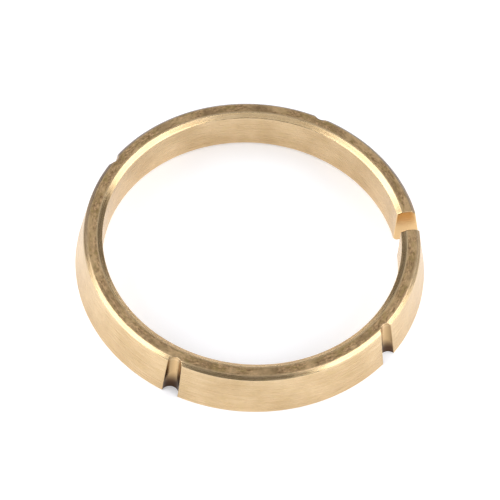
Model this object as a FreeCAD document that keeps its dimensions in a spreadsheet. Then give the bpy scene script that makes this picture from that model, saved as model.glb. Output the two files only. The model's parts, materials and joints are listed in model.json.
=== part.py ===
"""A split brass ring: one turned band, sawn through once and grooved four times down its outside.

Millimetres, +Z up. The origin is on the ring's axis, in the plane of its wide face, and +X points out
through the middle of the split. The left side is +Y, the right side is -Y.

The real ring is one piece of brass. It is divided here only where it bends: at the four grooves, where
its wall is thinnest. An arc is the full wall between two cuts, and a neck is the thinned wall behind a
groove, which flexes when the split closes or opens.
"""

import FreeCAD, Part
import os

import Sketcher

SIZES = {
    "outside_diameter": 32.0,  # across the wide face
    "bore_diameter": 27.1,
    "height": 4.35,
    "cone_angle": 10.2,  # degrees, the outside's lean from the axis
    "outer_break": 0.33,  # 45 degree chamfer between the cone and the narrow face
    "inner_break_width": 0.48,  # chamfer between the narrow face and the bore
    "inner_break_height": 0.31,
    "base_break": 0.25,  # 45 degree chamfer between the bore and the wide face
    "split_width": 1.9,
    "groove_width": 1.5,  # each groove has a full round bottom
    "groove_floor_radius": 15.02,  # halfway up the ring
    "groove_lean": 4.9,  # degrees, how far a groove's floor leans outwards towards the wide face
    "neck_length": 2.0,
    "left_end_angle": 56.2,  # degrees from the split, counter-clockwise from above
    "left_rear_angle": 138.1,
    "right_rear_angle": 234.6,
    "right_end_angle": 312.5,
}

# Places round the ring, counter-clockwise from the split, and the arc that follows each one.
GROOVES = ["left_end", "left_rear", "right_rear", "right_end"]
ARCS = ["left_end_arc", "left_side_arc", "rear_arc", "right_side_arc", "right_end_arc"]

doc = FreeCAD.newDocument("split_ring")


def add_sheet():
    """Write the driving dimensions into the spreadsheet, one aliased cell each."""
    sheet = doc.addObject("Spreadsheet::Sheet", "Sizes")
    for row, (alias, value) in enumerate(SIZES.items(), start=1):
        sheet.set(f"A{row}", str(value))
        sheet.setAlias(f"A{row}", alias)
    doc.recompute()


def bind(thing, **expressions):
    """Bind properties of an object to expressions of the sheet's cells."""
    for name, expression in expressions.items():
        thing.setExpression(name, expression)


# Lengths that several features share, written with the sheet's aliases.
OUTER_R = "Sizes.outside_diameter / 2"
BORE_R = "Sizes.bore_diameter / 2"
CONE_TOP_Z = "(Sizes.height - Sizes.outer_break)"
CONE_TOP_R = f"({OUTER_R} - {CONE_TOP_Z} * tan(Sizes.cone_angle * 1deg))"
CUT_HEIGHT = "Sizes.height * 3"  # a cutter stands one ring height clear above and below
NO_TURN = "rotation(0; 0; 0)"


def add_blank():
    """Turn the whole band: its section, seen at +X, revolved about the axis."""
    body = doc.addObject("PartDesign::Body", "turned_band")
    section = body.newObject("Sketcher::SketchObject", "band_section")
    plane = next(f for f in body.Origin.OriginFeatures if f.Role == "XZ_Plane")
    section.AttachmentSupport = [(plane, "")]
    section.MapMode = "FlatFace"
    corners = [
        ("base_inner", f"{BORE_R} + Sizes.base_break", None),
        ("base_outer", OUTER_R, None),
        ("cone_top", CONE_TOP_R, CONE_TOP_Z),
        ("face_outer", f"{CONE_TOP_R} - Sizes.outer_break", "Sizes.height"),
        ("face_inner", f"{BORE_R} + Sizes.inner_break_width", "Sizes.height"),
        ("bore_top", BORE_R, "Sizes.height - Sizes.inner_break_height"),
        ("bore_base", BORE_R, "Sizes.base_break"),
    ]
    # A rough loop in the right order, which the constraints then pull to size.
    rough = [(14, 0), (16, 0), (15.3, 4), (15, 4.4), (14, 4.4), (13.6, 4), (13.6, 0.3)]
    points = [FreeCAD.Vector(x, y, 0) for x, y in rough]
    for start, end in zip(points, points[1:] + points[:1]):
        section.addGeometry(Part.LineSegment(start, end))
    for line in range(len(points)):
        section.addConstraint(Sketcher.Constraint("Coincident", line, 2, (line + 1) % len(points), 1))
    for line, (name, reach, rise) in enumerate(corners):
        across = section.addConstraint(Sketcher.Constraint("DistanceX", -1, 1, line, 1, rough[line][0]))
        section.renameConstraint(across, f"{name}_reach")
        section.setExpression(f"Constraints.{name}_reach", reach)
        if rise is None:
            section.addConstraint(Sketcher.Constraint("PointOnObject", line, 1, -1))
            continue
        up = section.addConstraint(Sketcher.Constraint("DistanceY", -1, 1, line, 1, rough[line][1]))
        section.renameConstraint(up, f"{name}_rise")
        section.setExpression(f"Constraints.{name}_rise", rise)
    turned = body.newObject("PartDesign::Revolution", "turning")
    turned.Profile = (section, [""])
    turned.ReferenceAxis = (section, ["V_Axis"])
    turned.Angle = 360
    body.Tip = turned
    doc.recompute()
    return body


def add_slab(name, angle, width):
    """A flat slab from the axis outwards at an angle, centred on that angle's radius."""
    slab = doc.addObject("Part::Box", name)
    side = f"vector({width} / 2 * sin({angle} * 1deg); -{width} / 2 * cos({angle} * 1deg); -Sizes.height)"
    bind(
        slab,
        Length="Sizes.outside_diameter",
        Width=width,
        Height=CUT_HEIGHT,
        Placement=f"placement({side}; rotation({angle}; 0; 0))",
    )
    return slab


def add_groove_cutter(place):
    """A round-nosed cutter: a cylinder for the groove's bottom and a box from it outwards."""
    angle = f"Sizes.{place}_angle * 1deg"
    centre_r = "(Sizes.groove_floor_radius + Sizes.groove_width / 2)"
    centre = f"vector({centre_r} * cos({angle}); {centre_r} * sin({angle}); Sizes.height / 2)"
    turn = f"rotation(Sizes.{place}_angle; -Sizes.groove_lean; 0)"
    nose = doc.addObject("Part::Cylinder", f"{place}_groove_nose")
    down = f"placement(vector(0; 0; -{CUT_HEIGHT} / 2); {NO_TURN})"
    bind(
        nose,
        Radius="Sizes.groove_width / 2",
        Height=CUT_HEIGHT,
        Placement=f"placement({centre}; {turn}) * {down}",
    )
    mouth = doc.addObject("Part::Box", f"{place}_groove_mouth")
    corner = f"placement(vector(0; -Sizes.groove_width / 2; -{CUT_HEIGHT} / 2); {NO_TURN})"
    bind(
        mouth,
        Length=OUTER_R,
        Width="Sizes.groove_width",
        Height=CUT_HEIGHT,
        Placement=f"placement({centre}; {turn}) * {corner}",
    )
    cutter = doc.addObject("Part::Fuse", f"{place}_groove")
    cutter.Base = nose
    cutter.Tool = mouth
    return cutter


def combine(kind, name, base, tool):
    """One Part boolean of two objects."""
    result = doc.addObject(kind, name)
    result.Base = base
    result.Tool = tool
    return result


def add_neck(place, band, window):
    """The thinned wall behind one groove, between the two flat ends of its neighbours."""
    block = combine("Part::Common", f"{place}_block", band, window)
    neck = combine("Part::Cut", f"{place}_neck", block, add_groove_cutter(place))
    neck.Label = f"{place}_neck"
    return neck


def add_arc(label, band, start, end, start_cut, end_cut):
    """The full wall between two cuts, from the angle of the first to the angle of the second."""
    sector = doc.addObject("Part::Cylinder", f"{label}_sector")
    bind(
        sector,
        Radius="Sizes.outside_diameter",
        Height=CUT_HEIGHT,
        Angle=f"({end} - {start}) * 1deg",
        Placement=f"placement(vector(0; 0; -Sizes.height); rotation({start}; 0; 0))",
    )
    share = combine("Part::Common", f"{label}_share", band, sector)
    trimmed = combine("Part::Cut", f"{label}_trimmed", share, start_cut)
    arc = combine("Part::Cut", label, trimmed, end_cut)
    arc.Label = label
    return arc


def build():
    """Make every sub-part and return them in order round the ring."""
    band = add_blank()
    split = add_slab("split_cut", "0", "Sizes.split_width")
    windows = {g: add_slab(f"{g}_window", f"Sizes.{g}_angle", "Sizes.neck_length") for g in GROOVES}
    necks = [add_neck(g, band, windows[g]) for g in GROOVES]
    angles = ["0"] + [f"Sizes.{g}_angle" for g in GROOVES] + ["360"]
    cuts = [split] + [windows[g] for g in GROOVES] + [split]
    arcs = [
        add_arc(label, band, angles[i], angles[i + 1], cuts[i], cuts[i + 1])
        for i, label in enumerate(ARCS)
    ]
    doc.recompute()
    return arcs + necks


def check(parts):
    """Stop if any object failed or any sub-part isn't one valid solid."""
    failed = [o.Name for o in doc.Objects if {"Invalid", "Error"} & set(o.State)]
    if failed:
        raise RuntimeError(f"failed objects: {failed}")
    for part in parts:
        if part.Shape.isNull() or not part.Shape.isValid() or len(part.Shape.Solids) != 1:
            raise RuntimeError(f"{part.Label} isn't one valid solid")


add_sheet()
parts = build()
check(parts)
os.makedirs("parts", exist_ok=True)
for part in parts:
    part.Shape.exportStep(f"parts/{part.Label}.step")
    print(f"{part.Label}: {part.Shape.Volume:.2f} mm3")
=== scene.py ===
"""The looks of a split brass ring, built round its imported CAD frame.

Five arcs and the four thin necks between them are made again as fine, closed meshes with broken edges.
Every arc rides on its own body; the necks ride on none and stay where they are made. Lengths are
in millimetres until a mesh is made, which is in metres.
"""

import json
import math

import bpy
import numpy as np
from mathutils import Matrix, Vector


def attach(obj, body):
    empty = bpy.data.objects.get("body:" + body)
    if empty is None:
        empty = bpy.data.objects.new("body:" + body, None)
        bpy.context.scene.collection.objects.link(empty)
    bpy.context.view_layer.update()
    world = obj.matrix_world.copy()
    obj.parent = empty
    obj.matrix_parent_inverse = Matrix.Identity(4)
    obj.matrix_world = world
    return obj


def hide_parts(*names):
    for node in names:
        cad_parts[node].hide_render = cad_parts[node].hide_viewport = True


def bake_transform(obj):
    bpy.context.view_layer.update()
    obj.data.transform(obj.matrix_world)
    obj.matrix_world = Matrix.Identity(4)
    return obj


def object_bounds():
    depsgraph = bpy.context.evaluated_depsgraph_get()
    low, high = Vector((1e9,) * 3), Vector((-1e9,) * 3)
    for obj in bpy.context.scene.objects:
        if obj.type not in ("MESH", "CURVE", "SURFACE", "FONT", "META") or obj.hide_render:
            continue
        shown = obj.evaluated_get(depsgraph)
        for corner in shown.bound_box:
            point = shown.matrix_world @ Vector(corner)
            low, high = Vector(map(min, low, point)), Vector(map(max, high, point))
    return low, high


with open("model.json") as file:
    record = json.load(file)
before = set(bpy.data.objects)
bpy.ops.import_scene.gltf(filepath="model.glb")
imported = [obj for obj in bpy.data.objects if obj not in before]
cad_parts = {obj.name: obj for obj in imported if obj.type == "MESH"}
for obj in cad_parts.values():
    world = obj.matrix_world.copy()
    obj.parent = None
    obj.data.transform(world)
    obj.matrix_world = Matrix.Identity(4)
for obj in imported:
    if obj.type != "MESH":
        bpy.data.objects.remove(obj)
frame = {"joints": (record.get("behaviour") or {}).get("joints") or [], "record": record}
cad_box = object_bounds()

MM = 0.001

# The ring's section, in millimetres and degrees, as the CAD has it.
HEIGHT = cad_box[1].z / MM
OUTER_R = -cad_box[0].x / MM
BORE_R = next(m["dims"]["r_mm"] for m in frame["record"]["mounts"] if m["name"] == "bore")
CONE_LEAN = math.tan(math.radians(10.2))
OUTER_BREAK = 0.33
INNER_BREAK = (0.48, 0.31)
BASE_BREAK = 0.25

# The saw cut at +X and the four round-bottomed grooves.
SPLIT_WIDTH = 1.9
NECK_LENGTH = 2.0
GROOVE_R = 0.75
GROOVE_FLOOR = 15.02
GROOVE_LEAN = math.tan(math.radians(4.9))

# Places and arcs in order, counter-clockwise from the split.
GROOVES = ["left_end", "left_rear", "right_rear", "right_end"]
ARCS = ["left_end_arc", "left_side_arc", "rear_arc", "right_side_arc", "right_end_arc"]

# Fineness of the meshes.
EDGE_SETBACK = 0.06
EDGE_STEPS = 4
HOLDING_GAP = 0.03
SETBACK_LOSS = 0.2
TRIAL_INSET = 0.1
# How far the painted highlight along each rounded edge reaches.
EDGE_HIGHLIGHT_REACH = 0.09
ARC_STEP = 0.35
SEAM_GAP = 0.02
SAW_STEPS = 5
FAR_END_BREAK = 0.08
NEAR_END_BREAK = 0.07
NEAR_END_TOP_BREAK = 0.17
NEAR_END_TOP_FROM = 3.85
END_FACE_STEP = 0.12
END_FACE_UV = (200.0, 40.0)
SHOULDER_SHARES = (0.0, 0.02, 0.3, 0.6)
SHOULDER_SETBACK = 0.35
MOUTH_PASSES = 6
WALL_ROWS = 11

# Painted shade, darker towards a groove's bottom and on the chamfer round the back: heights up a groove,
# strengths, and the way round that the chamfer faces where it is darkest.
PAINTED_SHADE_TOP = 2.6
PAINTED_SHADE_FULL = 0.6
PAINTED_SHADE_WALL = 1.0
RIM_PAINTED_SHADE = 0.92
RIM_PAINTED_SHADE_AT = 84.0
RIM_PAINTED_SHADE_FADE = 1.2

# Glow of the floor, in the middle and out at the sides, and how far out each is.
FLOOR_GLOW = (0.2, 0.5)
FLOOR_GLOW_REACH = (0.006, 0.018)

# The camera, its angles in degrees.
CAMERA_LENS = 216.0
CAMERA_DISTANCE = 273.08
CAMERA_AZIMUTH = 12.9
CAMERA_ELEVATION = 55.32
CAMERA_ROLL = 5.02
CAMERA_AIM_RIGHT = -0.12
CAMERA_AIM_UP = -0.044


# ---------------------------------------------------------------- section


def section_corners():
    """Corners of the band's section, from the bore's foot outwards, up the outside and back."""
    rim_z = HEIGHT - OUTER_BREAK
    rim_r = OUTER_R - rim_z * CONE_LEAN
    return [
        ("base", BORE_R + BASE_BREAK, 0.0, 8),
        ("cone", OUTER_R, 0.0, 26),
        ("rim", rim_r, rim_z, 5),
        ("face", rim_r - OUTER_BREAK, HEIGHT, 9),
        ("lip", BORE_R + INNER_BREAK[0], HEIGHT, 6),
        ("bore", BORE_R, HEIGHT - INNER_BREAK[1], 22),
        ("foot", BORE_R, BASE_BREAK, 5),
    ]


def section_rows(inset=0.0):
    """The section as closed rows: radius, height, stretch, share along it and distance round it.

    Each stretch starts with its own rounded corner, whose rows have a share below zero. The inset
    draws the whole outline in towards the metal by the same distance, as on a sawn end.
    """
    corners = section_corners()
    places = np.array([corner[1:3] for corner in corners])
    ahead = np.roll(places, -1, axis=0) - places
    ahead /= np.linalg.norm(ahead, axis=1)[:, None]
    inward = np.stack([-ahead[:, 1], ahead[:, 0]], axis=1)
    back = np.roll(ahead, 1, axis=0)
    both = inward + np.roll(inward, 1, axis=0)
    places = places + inset * both / (1 + np.sum(back * ahead, axis=1))[:, None]
    setback = EDGE_SETBACK - inset * SETBACK_LOSS
    rows = []
    for i, (name, _, _, count) in enumerate(corners):
        here = places[i]
        length = np.linalg.norm(places[(i + 1) % len(corners)] - here)
        for step in range(EDGE_STEPS + 1):
            t = step / EDGE_STEPS
            point = here - setback * (1 - t) ** 2 * back[i] + setback * t**2 * ahead[i]
            rows.append((*point, name, t - 2))
        first = setback + HOLDING_GAP
        for reach in np.linspace(first, length - first, count):
            rows.append((*(here + reach * ahead[i]), name, reach / length))
    places = np.array([row[:2] for row in rows])
    gaps = np.linalg.norm(np.roll(places, -1, axis=0) - places, axis=1)
    round_it = np.concatenate([[0], np.cumsum(gaps)])
    return {
        "r": places[:, 0],
        "z": places[:, 1],
        "name": np.array([row[2] for row in rows]),
        "share": np.array([row[3] for row in rows]),
        "v": round_it[:-1],
        "v_end": round_it[-1],
    }


SECTION = section_rows()
DRAWN_IN = section_rows(inset=TRIAL_INSET)
CORNER = {name: (r, z) for name, r, z, _ in section_corners()}


def inset_section(inset):
    """Radius and height of every row of the section, drawn in by a distance of its own for each row."""
    drawn = np.asarray(inset) / TRIAL_INSET
    r = SECTION["r"] + (DRAWN_IN["r"] - SECTION["r"]) * drawn
    z = SECTION["z"] + (DRAWN_IN["z"] - SECTION["z"]) * drawn
    return r, z


def edge_nearness():
    """1 on the middle row of each rounded corner, falling to 0 within about 0.2 mm of it: where edges get a
    painted highlight.
    """
    corner_v = SECTION["v"][SECTION["share"] == -1.5]
    span = np.abs(SECTION["v"][:, None] - corner_v[None, :])
    span = np.minimum(span, SECTION["v_end"] - span).min(axis=1)
    return np.exp(-((span / EDGE_HIGHLIGHT_REACH) ** 2))


def faced_share():
    """1 on the two flat faces and 0 on the turned sides."""
    return np.isin(SECTION["name"], ["base", "face"]).astype(float)


def rim_painted_shade(angle):
    """Painted shade: the chamfer outside the narrow face is painted darker round the back of the ring."""
    rim = (SECTION["name"] == "rim") | ((SECTION["name"] == "face") & (SECTION["share"] < -1.5))
    back = np.clip(0.5 + RIM_PAINTED_SHADE_FADE * np.cos(angle - math.radians(RIM_PAINTED_SHADE_AT)), 0, 1)
    return RIM_PAINTED_SHADE * rim[:, None] * back


# ---------------------------------------------------------------- pieces


def make_piece(name, grid, u, marks, caps=((), ())):
    """A closed tube of brass from a grid of rows by columns, with a flat cap at each end.

    grid holds positions, u the distance round the ring, and marks the numbers from 0 to 1 that the
    brass reads. caps holds, for each end, the outlines that step in from its edge to its middle.
    """
    rows, columns = grid.shape[:2]
    points = list(grid.transpose(1, 0, 2).reshape(-1, 3))
    values = {mark: list(grid_of.T.ravel()) for mark, grid_of in marks.items()}
    faces, face_uv = [], []
    over = (np.arange(rows) + 1) % rows
    v = SECTION["v"]
    v_over = np.where(over == 0, SECTION["v_end"], v[over])
    for c in range(columns - 1):
        for r in range(rows):
            o = over[r]
            faces.append((c * rows + r, (c + 1) * rows + r, (c + 1) * rows + o, c * rows + o))
            face_uv += [(u[r, c], v[r]), (u[r, c + 1], v[r]), (u[o, c + 1], v_over[r]), (u[o, c], v_over[r])]
    for end, outlines in zip((0, columns - 1), caps):
        way = -1 if end == 0 else 1
        ring = [end * rows + r for r in range(rows)]
        places = end_face_uv(grid[:, end])
        for outline in outlines:
            fresh = list(range(len(points), len(points) + rows))
            fresh_places = end_face_uv(outline)
            points += list(outline)
            for mark in values:
                values[mark] += [1.0 if mark == "cut" else 0.0] * rows
            for r in range(rows):
                o = over[r]
                faces.append((ring[r], fresh[r], fresh[o], ring[o])[::way])
                face_uv += [places[r], fresh_places[r], fresh_places[o], places[o]][::way]
            ring, places = fresh, fresh_places
        faces.append(tuple(ring[::-way]))
        face_uv += places[::-way]
    mesh = bpy.data.meshes.new(name)
    mesh.from_pydata([tuple(p * MM) for p in points], [], faces)
    layer = mesh.uv_layers.new(name="turning")
    layer.data.foreach_set("uv", np.array(face_uv, np.float32).ravel())
    for mark, numbers in values.items():
        attribute = mesh.attributes.new(mark, "FLOAT", "POINT")
        attribute.data.foreach_set("value", np.array(numbers, np.float32))
    mesh.polygons.foreach_set("use_smooth", [True] * len(mesh.polygons))
    mark_seams_sharp(mesh, rows, columns, caps)
    mesh.update()
    piece = bpy.data.objects.new(name, mesh)
    bpy.context.scene.collection.objects.link(piece)
    return piece


def mark_seams_sharp(mesh, rows, columns, caps):
    """Keep the hidden caps between an arc and a neck from bending the shading at the seam."""
    on_seam = np.zeros(len(mesh.vertices), bool)
    for end, outlines in zip((0, columns - 1), caps):
        if not len(outlines):
            on_seam[end * rows : (end + 1) * rows] = True
    ends = np.zeros(len(mesh.edges) * 2, np.int32)
    mesh.edges.foreach_get("vertices", ends)
    sharp = on_seam[ends.reshape(-1, 2)].all(axis=1)
    mesh.attributes.new("sharp_edge", "BOOLEAN", "EDGE").data.foreach_set("value", sharp)


def end_face_uv(outline):
    """Places on a flat end, as distances out and up, set clear of the turned surface's own."""
    reach = np.linalg.norm(outline[:, :2], axis=1)
    return [(END_FACE_UV[0] + a, END_FACE_UV[1] + z) for a, z in zip(reach, outline[:, 2])]


def ring_at(place, side, offset, inset=0.0):
    """One ring of the band: the section on a plane beside the axis, at an offset from the plane at place."""
    r, z = inset_section(inset)
    angle = place + side * np.arcsin(offset / r)
    return np.stack([r * np.cos(angle), r * np.sin(angle), z], axis=1), angle


def sawn_end(place, side, kind):
    """Rings from the turned surface over a broken edge to the flat, sawn end, and on to its middle.

    Returns the rings with their angles and their cut and edge marks, and then the cap's outlines.
    """
    wide = np.full(len(SECTION["r"]), FAR_END_BREAK if kind == "far" else NEAR_END_BREAK)
    if kind == "near":
        top = np.clip((SECTION["z"] - NEAR_END_TOP_FROM) / (HEIGHT - NEAR_END_TOP_FROM), 0, 1)
        wide = wide + (NEAR_END_TOP_BREAK - NEAR_END_BREAK) * top * top * (3 - 2 * top)
    half = SPLIT_WIDTH / 2
    rings = [(*ring_at(place, side, half + wide + HOLDING_GAP), 0.0, 0.0)]
    for step in range(SAW_STEPS + 1):
        turn = math.pi / 2 * step / SAW_STEPS
        inset = wide * (1 - math.cos(turn))
        offset = half + wide * (1 - math.sin(turn))
        rings.append((*ring_at(place, side, offset, inset), step / SAW_STEPS, math.sin(2 * turn)))
    outlines = [ring_at(place, side, half, wide + more)[0] for more in (HOLDING_GAP, END_FACE_STEP)]
    return rings[::-1], outlines


def make_arc(name, start, end, start_kind, end_kind):
    """The full band from one cut to the next. A kind is seam at a neck, and near or far at the split."""
    r, z = SECTION["r"], SECTION["z"]
    ends = []
    caps = []
    for place, side, kind in ((start, 1, start_kind), (end, -1, end_kind)):
        if kind == "seam":
            half = NECK_LENGTH / 2
            rings = [(*ring_at(place, side, half + gap), 0.0, 0.0) for gap in (0.0, SEAM_GAP)]
            outlines = []
        else:
            rings, outlines = sawn_end(place, side, kind)
        ends.append(rings)
        caps.append(outlines)
    first, last = ends[0][-1][1], ends[1][-1][1]
    count = int((last - first).mean() * OUTER_R / ARC_STEP)
    middle = []
    for share in np.arange(1, count) / count:
        angle = first + (last - first) * share
        points = np.stack([r * np.cos(angle), r * np.sin(angle), z], axis=1)
        middle.append((points, angle, 0.0, 0.0))
    rings = ends[0] + middle + ends[1][::-1]
    grid = np.stack([ring[0] for ring in rings], axis=1)
    angle = np.stack([ring[1] for ring in rings], axis=1)
    edge = np.stack([np.maximum(edge_nearness(), ring[3]) for ring in rings], axis=1)
    cut = np.stack([np.full(len(r), ring[2]) for ring in rings], axis=1)
    faced = np.repeat(faced_share()[:, None], len(rings), axis=1)
    marks = {"cut": cut, "edge": edge, "faced": faced, "grime": rim_painted_shade(angle)}
    return make_piece(name, grid, angle * OUTER_R, marks, caps)


# ---------------------------------------------------------------- necks


def groove_line(r, z):
    """One row across a neck, seen from above: offset, reach, how much it is cut and how near an edge.

    The offset is measured round the ring from the groove's middle plane, the reach outwards along it.
    """
    centre = GROOVE_FLOOR + GROOVE_R + (HEIGHT / 2 - z) * GROOVE_LEAN
    half = NECK_LENGTH / 2
    sides = []
    for side in (-1, 1):
        mouth = side * GROOVE_R
        top = math.sqrt(r * r - mouth * mouth)
        wall = max(0.0, top - centre)
        start = 0.0
        if top < centre:
            # The outside crosses the round itself, a little in from its full width.
            for _ in range(MOUTH_PASSES):
                start = math.asin(min(1.0, (centre - top) / GROOVE_R))
                mouth = side * GROOVE_R * math.cos(start)
                top = math.sqrt(r * r - mouth * mouth)
        length = wall + GROOVE_R * (math.pi / 2 - start)

        def along(d, side=side, wall=wall, start=start, top=top, centre=centre):
            """The point on the groove's wall at a distance d from its mouth."""
            if d < wall:
                return side * GROOVE_R, top - d
            turn = start + (d - wall) / GROOVE_R
            return side * GROOVE_R * math.cos(turn), centre - GROOVE_R * math.sin(turn)

        out = []
        shoulder = abs(side * half - mouth)
        for share in SHOULDER_SHARES:
            s = side * half + (mouth - side * half) * share
            out.append((s, math.sqrt(r * r - s * s), 0.0, 0.0))
        setback = min(EDGE_SETBACK, SHOULDER_SETBACK * shoulder)
        outside = mouth + side * setback
        before = np.array([outside, math.sqrt(r * r - outside * outside)])
        corner = np.array([mouth, top])
        after = np.array(along(EDGE_SETBACK))
        for step in range(EDGE_STEPS + 1):
            t = step / EDGE_STEPS
            p = (1 - t) ** 2 * before + 2 * t * (1 - t) * corner + t * t * after
            out.append((p[0], p[1], t, 4 * t * (1 - t)))
        for d in np.linspace(EDGE_SETBACK + HOLDING_GAP, length, WALL_ROWS):
            out.append((*along(d), 1.0, 0.0))
        sides.append(out)
    return sides[0] + sides[1][-2::-1]


def make_neck(name, place):
    """The band behind one groove, as rows across it that follow the groove's mouth."""
    r, z, stretch = (SECTION[k] for k in ("r", "z", "name"))
    lines = {}
    for i in range(len(r)):
        if stretch[i] in ("cone", "rim"):
            lines[i] = groove_line(r[i], z[i])
    rim_edge = np.array(groove_line(*CORNER["face"]))
    base_edge = np.array(groove_line(*CORNER["cone"]))
    spread = np.linspace(-NECK_LENGTH / 2, NECK_LENGTH / 2, len(rim_edge))
    spread[[1, -2]] = rim_edge[[1, -2], 0]
    grid = np.zeros((len(r), len(spread), 3))
    edge = np.repeat(edge_nearness()[:, None], len(spread), axis=1)
    cut = np.zeros((len(r), len(spread)))
    for i in range(len(r)):
        if i in lines:
            line = np.array(lines[i])
            grid[i] = np.stack([line[:, 0], line[:, 1], np.full(len(line), z[i])], axis=1)
            cut[i] = line[:, 2]
            edge[i] = np.maximum(edge[i], line[:, 3])
        else:
            grid[i, :, 0] = spread
            grid[i, :, 1] = np.sqrt(r[i] ** 2 - spread**2)
            grid[i, :, 2] = z[i]
    trim_face(grid, "face", "lip", "face", rim_edge, spread)
    trim_face(grid, "base", "base", "cone", base_edge, spread)
    round_mouth(grid, "face", rim_edge)
    round_mouth(grid, "cone", base_edge)
    half = NECK_LENGTH / 2
    for column, s in ((0, -half), (-1, half)):
        grid[:, column, 0] = s
        grid[:, column, 1] = np.sqrt(r**2 - half**2)
        grid[:, column, 2] = z
    s, reach = grid[:, :, 0], grid[:, :, 1]
    angle = place + np.arctan2(s, reach)
    x = reach * math.cos(place) - s * math.sin(place)
    y = reach * math.sin(place) + s * math.cos(place)
    faced = np.repeat(faced_share()[:, None], len(spread), axis=1)
    # Painted shade in the groove: darker towards its bottom and towards its sides.
    low = np.clip((PAINTED_SHADE_TOP - grid[:, :, 2]) / (PAINTED_SHADE_TOP - PAINTED_SHADE_FULL), 0, 1)
    walls = np.abs(np.linspace(-1, 1, len(spread)))[None, :]
    grime = cut * np.maximum(low * low * (3 - 2 * low), PAINTED_SHADE_WALL * walls)
    grime = np.maximum(grime, rim_painted_shade(angle))
    marks = {"cut": cut, "edge": edge, "faced": faced, "grime": grime}
    return make_piece(name, np.stack([x, y, grid[:, :, 2]], axis=2), angle * OUTER_R, marks)


def trim_face(grid, face, inner, outer, mouth, spread):
    """Draw a flat face's rows between its inner edge, which is straight, and the groove's outline."""
    r, stretch, share = SECTION["r"], SECTION["name"], SECTION["share"]
    inner_r, outer_r = CORNER[inner][0], CORNER[outer][0]
    inner_line = np.stack([spread, np.sqrt(inner_r**2 - spread**2)], axis=1)
    for i in np.flatnonzero((stretch == face) & (share > 0)):
        f = (r[i] - inner_r) / (outer_r - inner_r)
        grid[i, :, :2] = inner_line * (1 - f) + mouth[:, :2] * f


def round_mouth(grid, corner, mouth):
    """Round the edge between a flat face and the groove, along the groove's outline on that face.

    A known fault: inside the groove at the narrow face, these rows run from the face down the wall,
    against the order of the rows round them, so the surface folds there by up to the edge's setback.
    """
    r, z, stretch, share = (SECTION[k] for k in ("r", "z", "name", "share"))
    up = -1 if corner == "face" else 1
    here_r, here_z = CORNER[corner]
    ahead = np.gradient(mouth[:, :2], axis=0)
    ahead /= np.linalg.norm(ahead, axis=1)[:, None]
    outward = np.stack([-ahead[:, 1], ahead[:, 0]], axis=1)
    outward *= np.sign(outward[:, 1:2])
    grooved = mouth[:, 2]
    for i in np.flatnonzero((stretch == corner) & (share < 0)):
        t = share[i] + 2
        dr = r[i] - here_r
        dz = z[i] - here_z
        into = -EDGE_SETBACK * (1 - t) ** 2
        rise = up * EDGE_SETBACK * t**2
        move = dr * (1 - grooved) + into * grooved
        grid[i, :, :2] = mouth[:, :2] + outward * move[:, None]
        grid[i, :, 2] = here_z + dz * (1 - grooved) + rise * grooved


# ---------------------------------------------------------------- brass


class Nodes:
    """A short way to write a shader: nodes are made and joined by name."""

    def __init__(self, tree):
        self.tree = tree
        tree.nodes.clear()

    def add(self, kind, inputs=(), **settings):
        node = self.tree.nodes.new(kind)
        for key, value in settings.items():
            setattr(node, key, value)
        for key, value in dict(inputs).items():
            if isinstance(value, bpy.types.NodeSocket):
                self.tree.links.new(value, node.inputs[key])
            else:
                node.inputs[key].default_value = value
        return node

    def mark(self, name):
        """One of the piece's own marks, as a number."""
        return self.add("ShaderNodeAttribute", attribute_name=name).outputs["Fac"]

    def math(self, operation, a, b=0.0):
        """Two numbers joined by an operation."""
        return self.add("ShaderNodeMath", {0: a, 1: b}, operation=operation).outputs[0]

    def noise(self, vector, scale, detail=3.0, roughness=0.55):
        """Noise from 0 to 1, drawn out by a different scale each way."""
        place = self.add("ShaderNodeMapping", {"Vector": vector, "Scale": scale})
        inputs = {"Vector": place.outputs[0], "Scale": 1.0, "Detail": detail, "Roughness": roughness}
        return self.add("ShaderNodeTexNoise", inputs).outputs["Fac"]

    def ramp(self, value, low, high, to_low=0.0, to_high=1.0):
        """A number stretched from one range to another, without going past its ends."""
        inputs = {0: value, 1: low, 2: high, 3: to_low, 4: to_high}
        return self.add("ShaderNodeMapRange", inputs).outputs[0]

    def mix(self, factor, a, b):
        """One colour turned into another."""
        node = self.add("ShaderNodeMix", data_type="RGBA")
        for socket, value in ((0, factor), (6, a), (7, b)):
            if isinstance(value, bpy.types.NodeSocket):
                self.tree.links.new(value, node.inputs[socket])
            else:
                node.inputs[socket].default_value = value
        return node.outputs[2]


def colour(red, green, blue):
    """A colour from its three linear shares."""
    return (red, green, blue, 1.0)


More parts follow.
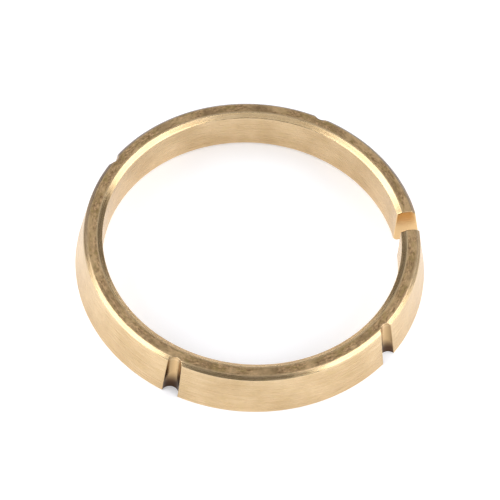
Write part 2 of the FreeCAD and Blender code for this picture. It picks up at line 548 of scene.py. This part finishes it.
def make_brass():
    """Turned brass: marks round the ring, a duller mottled face, cut grooves, painted highlights on the
    edges and painted shade.
    """
    material = bpy.data.materials.new("turned_brass")
    material.use_nodes = True
    n = Nodes(material.node_tree)
    uv = n.add("ShaderNodeUVMap", uv_map="turning").outputs[0]
    cut, edge, faced, grime = (n.mark(m) for m in ("cut", "edge", "faced", "grime"))

    cloud = n.noise(uv, (0.26, 0.3, 1.0), 3.0)
    blotch = n.noise(uv, (0.8, 1.5, 1.0), 4.0, 0.6)
    patch = n.noise(uv, (0.45, 0.8, 1.0), 3.0, 0.6)
    streak = n.noise(uv, (0.30, 7.0, 1.0), 4.0, 0.65)
    fine = n.noise(uv, (1.2, 26.0, 1.0), 3.0, 0.7)
    grain = n.noise(uv, (5.0, 5.0, 1.0), 3.0, 0.7)
    drag = n.noise(uv, (2.2, 5.5, 1.0), 3.0, 0.7)

    tone = n.math("ADD", n.math("MULTIPLY", cloud, 0.5), n.math("MULTIPLY", streak, 0.5))
    sides = n.mix(n.ramp(tone, 0.35, 0.65), colour(0.545, 0.38, 0.20), colour(0.765, 0.575, 0.345))
    sides = n.mix(n.ramp(blotch, 0.5, 0.72, 0.0, 0.45), sides, colour(0.62, 0.46, 0.225))
    top = n.mix(n.ramp(drag, 0.36, 0.62), colour(0.27, 0.16, 0.075), colour(0.84, 0.58, 0.315))
    top = n.mix(n.ramp(blotch, 0.47, 0.64, 0.0, 0.8), top, colour(0.45, 0.33, 0.13))
    top = n.mix(n.ramp(grain, 0.5, 0.68, 0.0, 0.75), top, colour(0.36, 0.21, 0.14))
    top = n.mix(n.ramp(patch, 0.5, 0.6, 0.0, 0.6), top, colour(0.84, 0.60, 0.33))
    top = n.mix(n.ramp(cloud, 0.5, 0.62, 0.0, 0.55), top, colour(0.30, 0.20, 0.11))
    brass = n.mix(faced, sides, top)
    brass = n.mix(n.math("MULTIPLY", cut, 0.85), brass, colour(0.68, 0.46, 0.22))
    # Painted highlight: the rounded edges are made lighter, as where they catch the light.
    brass = n.mix(n.math("MULTIPLY", edge, 0.45), brass, colour(0.88, 0.68, 0.42))
    # Painted shade: near black in the grooves and on the chamfer round the back of the ring.
    brass = n.mix(n.math("MULTIPLY", grime, 0.97), brass, colour(0.07, 0.033, 0.017))

    polish = n.ramp(streak, 0.3, 0.7, 0.22, 0.32)
    dull = n.ramp(drag, 0.3, 0.7, 0.28, 0.42)
    roughness = n.add("ShaderNodeMix", {0: faced, 2: polish, 3: dull}).outputs[0]
    roughness = n.add("ShaderNodeMix", {0: cut, 2: roughness, 3: 0.16}).outputs[0]

    height = n.math("ADD", n.math("MULTIPLY", streak, 0.6), n.math("MULTIPLY", fine, 0.4))
    height = n.math("ADD", height, n.math("MULTIPLY", n.math("MULTIPLY", drag, faced), 0.8))
    bump = n.add("ShaderNodeBump", {"Strength": 0.35, "Distance": 0.00003, "Height": height})
    shader = n.add(
        "ShaderNodeBsdfPrincipled",
        {
            "Base Color": brass,
            "Roughness": roughness,
            "Metallic": 1.0,
            "Normal": bump.outputs[0],
            "Anisotropic": 0.6,
            "Anisotropic Rotation": 0.25,
            "Tangent": n.add("ShaderNodeTangent", direction_type="UV_MAP", uv_map="turning").outputs[0],
        },
    )
    out = n.add("ShaderNodeOutputMaterial")
    n.tree.links.new(shader.outputs[0], out.inputs[0])
    return material


# ---------------------------------------------------------------- studio


def direction(azimuth, elevation):
    """A unit vector: azimuth counter-clockwise from +X, elevation above the floor, in degrees."""
    a, e = math.radians(azimuth), math.radians(elevation)
    return Vector((math.cos(a) * math.cos(e), math.sin(a) * math.cos(e), math.sin(e)))


def add_camera():
    """The camera, at the viewing angle of a catalogue picture, with a slight roll."""
    azimuth = 270.0 - CAMERA_AZIMUTH
    back = direction(azimuth, CAMERA_ELEVATION)
    level = Vector((-math.sin(math.radians(azimuth)), math.cos(math.radians(azimuth)), 0.0))
    over = back.cross(level)
    roll = math.radians(CAMERA_ROLL)
    right = level * math.cos(roll) + over * math.sin(roll)
    up = over * math.cos(roll) - level * math.sin(roll)
    aim = Vector((0.0, 0.0, HEIGHT / 2)) + right * CAMERA_AIM_RIGHT + up * CAMERA_AIM_UP
    data = bpy.data.cameras.new("camera")
    data.lens = CAMERA_LENS
    data.sensor_width = 36.0
    data.clip_start = 0.01
    data.clip_end = 20.0
    camera = bpy.data.objects.new("camera", data)
    turn = Matrix((right, up, back)).transposed().to_4x4()
    camera.matrix_world = Matrix.Translation((aim + back * CAMERA_DISTANCE) * MM) @ turn
    bpy.context.scene.collection.objects.link(camera)
    bpy.context.scene.camera = camera


def add_softbox(name, azimuth, elevation, width, height, radiance, distance=0.6):
    """A square-edged soft light that faces the ring. radiance is how bright its face looks."""
    away = direction(azimuth, elevation)
    data = bpy.data.lights.new(name, "AREA")
    data.shape = "RECTANGLE"
    data.size = 2 * distance * math.tan(math.radians(width / 2))
    data.size_y = 2 * distance * math.tan(math.radians(height / 2))
    data.energy = radiance * math.pi * data.size * data.size_y
    light = bpy.data.objects.new(name, data)
    light.matrix_world = away.to_track_quat("Z", "Y").to_matrix().to_4x4()
    light.location = away * distance
    bpy.context.scene.collection.objects.link(light)


def add_floor():
    """A pale floor that glows a little, more towards the side lights, so that its shadows stay faint."""
    mesh = bpy.data.meshes.new("floor")
    reach = 3.0
    corners = [(-reach, -reach, 0.0), (reach, -reach, 0.0), (reach, reach, 0.0), (-reach, reach, 0.0)]
    mesh.from_pydata(corners, [], [(0, 1, 2, 3)])
    material = bpy.data.materials.new("pale_floor")
    material.use_nodes = True
    n = Nodes(material.node_tree)
    place = n.add("ShaderNodeTexCoord").outputs["Object"]
    turn = (0.0, 0.0, math.radians(CAMERA_AZIMUTH))
    turned = n.add("ShaderNodeMapping", {"Vector": place, "Rotation": turn})
    across = n.add("ShaderNodeSeparateXYZ", {"Vector": turned.outputs[0]}).outputs["X"]
    glow = n.ramp(n.math("ABSOLUTE", across), *FLOOR_GLOW_REACH, *FLOOR_GLOW)
    shader = n.add(
        "ShaderNodeBsdfPrincipled",
        {
            "Base Color": colour(0.87, 0.88, 0.92),
            "Roughness": 1.0,
            "Specular IOR Level": 0.0,
            "Emission Color": colour(1.0, 1.0, 1.0),
            "Emission Strength": glow,
        },
    )
    out = n.add("ShaderNodeOutputMaterial")
    n.tree.links.new(shader.outputs[0], out.inputs[0])
    mesh.materials.append(material)
    floor = bpy.data.objects.new("floor", mesh)
    bpy.context.scene.collection.objects.link(floor)


def add_studio():
    """A dim room with two tall soft lights at the sides, two weaker ones high up and a low one behind."""
    world = bpy.data.worlds.new("room")
    world.use_nodes = True
    n = Nodes(world.node_tree)
    room = n.add("ShaderNodeBackground", {"Color": colour(0.2, 0.195, 0.19), "Strength": 1.0})
    out = n.add("ShaderNodeOutputWorld")
    n.tree.links.new(room.outputs[0], out.inputs[0])
    bpy.context.scene.world = world
    turn = -CAMERA_AZIMUTH
    add_softbox("left_light", 192.0 + turn, 33.0, 58.0, 44.0, 3.1)
    add_softbox("right_light", 348.0 + turn, 33.0, 58.0, 44.0, 3.1)
    add_softbox("front_light", 270.0 + turn, 66.0, 60.0, 22.0, 0.9)
    add_softbox("back_light", 90.0 + turn, 58.0, 70.0, 44.0, 0.42)
    add_softbox("low_light", 90.0 + turn, 4.0, 66.0, 8.0, 1.8)
    bpy.context.scene.view_settings.view_transform = "Standard"


# ---------------------------------------------------------------- assembly


def groove_angles():
    """Each groove's angle round the ring, from the hinge that the CAD has behind it."""
    found = {}
    for joint in frame["joints"]:
        x, y, _ = joint["pos_m"]
        found[joint["name"].replace("_flex", "")] = math.atan2(y, x) % (2 * math.pi)
    return [found[g] for g in GROOVES]


def body_of_node(node):
    """The body that a CAD node belongs to."""
    return next(b for b, nodes in frame["record"]["behaviour"]["bodies"].items() if node in nodes)


def build_ring(brass):
    """Make the five arcs and the four necks, and fix each arc to its body; the necks are fixed to none."""
    grooves = groove_angles()
    edges = [0.0, *grooves, 2 * math.pi]
    kinds = ["far", *["seam"] * len(grooves), "near"]
    for i, node in enumerate(ARCS):
        arc = make_arc(f"{node}_brass", edges[i], edges[i + 1], kinds[i], kinds[i + 1])
        arc.data.materials.append(brass)
        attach(arc, body_of_node(node))
        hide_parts(node)
    for i, groove in enumerate(GROOVES):
        node = f"{groove}_neck"
        neck = make_neck(f"{node}_brass", grooves[i])
        neck.data.materials.append(brass)
        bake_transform(neck)
        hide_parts(node)


add_camera()
add_studio()
add_floor()
build_ring(make_brass())
